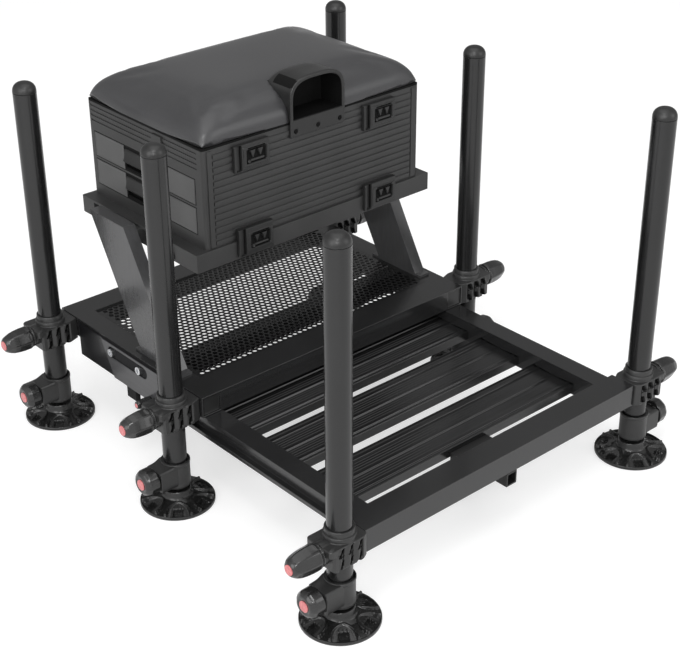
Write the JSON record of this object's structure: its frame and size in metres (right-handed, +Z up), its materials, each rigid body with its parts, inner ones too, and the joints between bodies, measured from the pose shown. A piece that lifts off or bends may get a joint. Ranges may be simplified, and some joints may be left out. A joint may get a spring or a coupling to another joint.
{
  "type": "fishing seat box",
  "caption": "Seat box on adjustable legs with a sliding slatted footplate, a perforated deck, a drawer box and a hinged padded seat.",
  "frame": {"origin": "on the floor, at the centre of the outline of the feet and knobs", "axes": "+Z up, -Y towards the sitter's feet, +X to the sitter's left, which is the viewer's right from the front"},
  "size_m": [0.796, 0.8249, 0.603],
  "materials": {
    "black_anodised": "satin black anodised",
    "leg_anodised": "gloss black anodised",
    "shell_plastic": "fine textured moulding",
    "part_plastic": "black moulding",
    "knob_plastic": "semi-gloss black moulding",
    "foot_rubber": "moulded black rubber",
    "seat_cover": "coated cloth over foam",
    "bolt_steel": "bright stainless"
  },
  "bodies": {
    "deck": {"deck_frame": "black_anodised", "deck_mesh": "black_anodised", "left_side_plate": "black_anodised", "right_side_plate": "black_anodised", "side_plate_bolts": "bolt_steel", "left_seat_arm": "black_anodised", "right_seat_arm": "black_anodised", "base_tray": "shell_plastic", "left_middle_leg_clamp": "part_plastic", "right_middle_leg_clamp": "part_plastic", "left_rear_leg_clamp": "part_plastic", "right_rear_leg_clamp": "part_plastic"},
    "footplate": {"footplate_frame": "black_anodised", "footplate_planks": "black_anodised", "footplate_catch": "part_plastic", "left_front_leg_clamp": "part_plastic", "right_front_leg_clamp": "part_plastic"},
    "box": {"box_shell": "shell_plastic"},
    "lid": {"lid_panel": "shell_plastic", "seat_cushion": "seat_cover", "lid_grip": "part_plastic"},
    "upper drawer": {"upper_drawer": "shell_plastic"},
    "lower drawer": {"lower_drawer": "shell_plastic"},
    "upper drawer latch": {"upper_drawer_latch": "part_plastic"},
    "lower drawer latch": {"lower_drawer_latch": "part_plastic"},
    "footplate lock knob": {"left_footplate_lock_knob": "knob_plastic"},
    "left lid latch": {"left_lid_latch": "part_plastic"},
    "left tray latch": {"left_tray_latch": "part_plastic"},
    "right lid latch": {"right_lid_latch": "part_plastic"},
    "right tray latch": {"right_tray_latch": "part_plastic"},
    "left front leg": {"left_front_leg": "leg_anodised", "left_front_foot_collar": "part_plastic"},
    "left front foot knob": {"left_front_foot_knob": "knob_plastic"},
    "left front foot pad": {"left_front_foot_pad": "foot_rubber"},
    "left front clamp knob": {"left_front_clamp_knob": "knob_plastic"},
    "right front leg": {"right_front_leg": "leg_anodised", "right_front_foot_collar": "part_plastic"},
    "right front foot knob": {"right_front_foot_knob": "knob_plastic"},
    "right front foot pad": {"right_front_foot_pad": "foot_rubber"},
    "right front clamp knob": {"right_front_clamp_knob": "knob_plastic"},
    "left middle leg": {"left_middle_leg": "leg_anodised", "left_middle_foot_collar": "part_plastic"},
    "left middle foot knob": {"left_middle_foot_knob": "knob_plastic"},
    "left middle foot pad": {"left_middle_foot_pad": "foot_rubber"},
    "left middle clamp knob": {"left_middle_clamp_knob": "knob_plastic"},
    "right middle leg": {"right_middle_leg": "leg_anodised", "right_middle_foot_collar": "part_plastic"},
    "right middle foot knob": {"right_middle_foot_knob": "knob_plastic"},
    "right middle foot pad": {"right_middle_foot_pad": "foot_rubber"},
    "right middle clamp knob": {"right_middle_clamp_knob": "knob_plastic"},
    "left rear leg": {"left_rear_leg": "leg_anodised", "left_rear_foot_collar": "part_plastic"},
    "left rear foot knob": {"left_rear_foot_knob": "knob_plastic"},
    "left rear foot pad": {"left_rear_foot_pad": "foot_rubber"},
    "left rear clamp knob": {"left_rear_clamp_knob": "knob_plastic"},
    "right rear leg": {"right_rear_leg": "leg_anodised", "right_rear_foot_collar": "part_plastic"},
    "right rear foot knob": {"right_rear_foot_knob": "knob_plastic"},
    "right rear foot pad": {"right_rear_foot_pad": "foot_rubber"},
    "right rear clamp knob": {"right_rear_clamp_knob": "knob_plastic"}
  },
  "joints": [
    {"name": "footplate_slide", "type": "slide", "parent": "deck", "child": "footplate", "axis": [0, 1, 0], "range_m": [0, 0.24]},
    {"name": "box_lift_off", "type": "slide", "parent": "deck", "child": "box", "axis": [0, 0, 1], "range_m": [0, 0.15]},
    {"name": "lid_hinge", "type": "hinge", "parent": "box", "child": "lid", "pos_m": [0, 0.348, 0.533], "axis": [-1, 0, 0], "range_deg": [0, 95]},
    {"name": "footplate_lock_turn", "type": "hinge", "parent": "deck", "child": "footplate lock knob", "pos_m": [-0.29, 0.1245, 0.117], "axis": [-1, 0, 0], "continuous": true},
    {"name": "lower_drawer_slide", "type": "slide", "parent": "box", "child": "lower drawer", "axis": [-1, 0, 0], "range_m": [0, 0.3]},
    {"name": "lower_drawer_latch_hinge", "type": "hinge", "parent": "lower drawer", "child": "lower drawer latch", "pos_m": [-0.2105, 0.195, 0.4329], "axis": [0, 1, 0], "range_deg": [0, 30], "stiffness_Nm_per_rad": 0.05, "springref_deg": -5.73},
    {"name": "upper_drawer_slide", "type": "slide", "parent": "box", "child": "upper drawer", "axis": [-1, 0, 0], "range_m": [0, 0.3]},
    {"name": "upper_drawer_latch_hinge", "type": "hinge", "parent": "upper drawer", "child": "upper drawer latch", "pos_m": [-0.2105, 0.195, 0.4779], "axis": [0, 1, 0], "range_deg": [0, 30], "stiffness_Nm_per_rad": 0.05, "springref_deg": -5.73},
    {"name": "left_lid_latch_hinge", "type": "hinge", "parent": "box", "child": "left lid latch", "pos_m": [-0.1275, 0.041, 0.4915], "axis": [1, 0, 0], "range_deg": [0, 100]},
    {"name": "left_tray_latch_hinge", "type": "hinge", "parent": "deck", "child": "left tray latch", "pos_m": [-0.1275, 0.038, 0.3585], "axis": [1, 0, 0], "range_deg": [0, 100]},
    {"name": "right_lid_latch_hinge", "type": "hinge", "parent": "box", "child": "right lid latch", "pos_m": [0.1225, 0.041, 0.4915], "axis": [1, 0, 0], "range_deg": [0, 100]},
    {"name": "right_tray_latch_hinge", "type": "hinge", "parent": "deck", "child": "right tray latch", "pos_m": [0.1225, 0.038, 0.3585], "axis": [1, 0, 0], "range_deg": [0, 100]},
    {"name": "left_front_leg_slide", "type": "slide", "parent": "footplate", "child": "left front leg", "axis": [0, 0, 1], "range_m": [-0.36, 0.025]},
    {"name": "left_front_clamp_knob_turn", "type": "hinge", "parent": "footplate", "child": "left front clamp knob", "pos_m": [-0.38, -0.3552, 0.1273], "axis": [-1, 0, 0], "continuous": true},
    {"name": "left_front_foot_knob_turn", "type": "hinge", "parent": "left front leg", "child": "left front foot knob", "pos_m": [-0.36, -0.3552, 0.055], "axis": [-1, 0, 0], "continuous": true},
    {"name": "left_front_foot_tilt", "type": "hinge", "parent": "left front leg", "child": "left front foot pad", "pos_m": [-0.3094, -0.3552, 0.022], "axis": [1, 0, 0], "range_deg": [-14, 14]},
    {"name": "right_front_leg_slide", "type": "slide", "parent": "footplate", "child": "right front leg", "axis": [0, 0, 1], "range_m": [-0.36, 0.025]},
    {"name": "right_front_clamp_knob_turn", "type": "hinge", "parent": "footplate", "child": "right front clamp knob", "pos_m": [0.38, -0.3552, 0.1273], "axis": [1, 0, 0], "continuous": true},
    {"name": "right_front_foot_knob_turn", "type": "hinge", "parent": "right front leg", "child": "right front foot knob", "pos_m": [0.36, -0.3552, 0.055], "axis": [1, 0, 0], "continuous": true},
    {"name": "right_front_foot_tilt", "type": "hinge", "parent": "right front leg", "child": "right front foot pad", "pos_m": [0.3094, -0.3552, 0.022], "axis": [1, 0, 0], "range_deg": [-14, 14]},
    {"name": "left_middle_leg_slide", "type": "slide", "parent": "deck", "child": "left middle leg", "axis": [0, 0, 1], "range_m": [-0.36, 0.06]},
    {"name": "left_middle_clamp_knob_turn", "type": "hinge", "parent": "deck", "child": "left middle clamp knob", "pos_m": [-0.38, 0.0203, 0.1607], "axis": [-1, 0, 0], "continuous": true},
    {"name": "left_middle_foot_knob_turn", "type": "hinge", "parent": "left middle leg", "child": "left middle foot knob", "pos_m": [-0.36, 0.0203, 0.055], "axis": [-1, 0, 0], "continuous": true},
    {"name": "left_middle_foot_tilt", "type": "hinge", "parent": "left middle leg", "child": "left middle foot pad", "pos_m": [-0.3094, 0.0203, 0.022], "axis": [1, 0, 0], "range_deg": [-14, 14]},
    {"name": "right_middle_leg_slide", "type": "slide", "parent": "deck", "child": "right middle leg", "axis": [0, 0, 1], "range_m": [-0.36, 0.06]},
    {"name": "right_middle_clamp_knob_turn", "type": "hinge", "parent": "deck", "child": "right middle clamp knob", "pos_m": [0.38, 0.0203, 0.1607], "axis": [1, 0, 0], "continuous": true},
    {"name": "right_middle_foot_knob_turn", "type": "hinge", "parent": "right middle leg", "child": "right middle foot knob", "pos_m": [0.36, 0.0203, 0.055], "axis": [1, 0, 0], "continuous": true},
    {"name": "right_middle_foot_tilt", "type": "hinge", "parent": "right middle leg", "child": "right middle foot pad", "pos_m": [0.3094, 0.0203, 0.022], "axis": [1, 0, 0], "range_deg": [-14, 14]},
    {"name": "left_rear_leg_slide", "type": "slide", "parent": "deck", "child": "left rear leg", "axis": [0, 0, 1], "range_m": [-0.36, 0.06]},
    {"name": "left_rear_clamp_knob_turn", "type": "hinge", "parent": "deck", "child": "left rear clamp knob", "pos_m": [-0.38, 0.3551, 0.1607], "axis": [-1, 0, 0], "continuous": true},
    {"name": "left_rear_foot_knob_turn", "type": "hinge", "parent": "left rear leg", "child": "left rear foot knob", "pos_m": [-0.36, 0.3551, 0.055], "axis": [-1, 0, 0], "continuous": true},
    {"name": "left_rear_foot_tilt", "type": "hinge", "parent": "left rear leg", "child": "left rear foot pad", "pos_m": [-0.3094, 0.3551, 0.022], "axis": [1, 0, 0], "range_deg": [-14, 14]},
    {"name": "right_rear_leg_slide", "type": "slide", "parent": "deck", "child": "right rear leg", "axis": [0, 0, 1], "range_m": [-0.36, 0.06]},
    {"name": "right_rear_clamp_knob_turn", "type": "hinge", "parent": "deck", "child": "right rear clamp knob", "pos_m": [0.38, 0.3551, 0.1607], "axis": [1, 0, 0], "continuous": true},
    {"name": "right_rear_foot_knob_turn", "type": "hinge", "parent": "right rear leg", "child": "right rear foot knob", "pos_m": [0.36, 0.3551, 0.055], "axis": [1, 0, 0], "continuous": true},
    {"name": "right_rear_foot_tilt", "type": "hinge", "parent": "right rear leg", "child": "right rear foot pad", "pos_m": [0.3094, 0.3551, 0.022], "axis": [1, 0, 0], "range_deg": [-14, 14]}
  ]
}
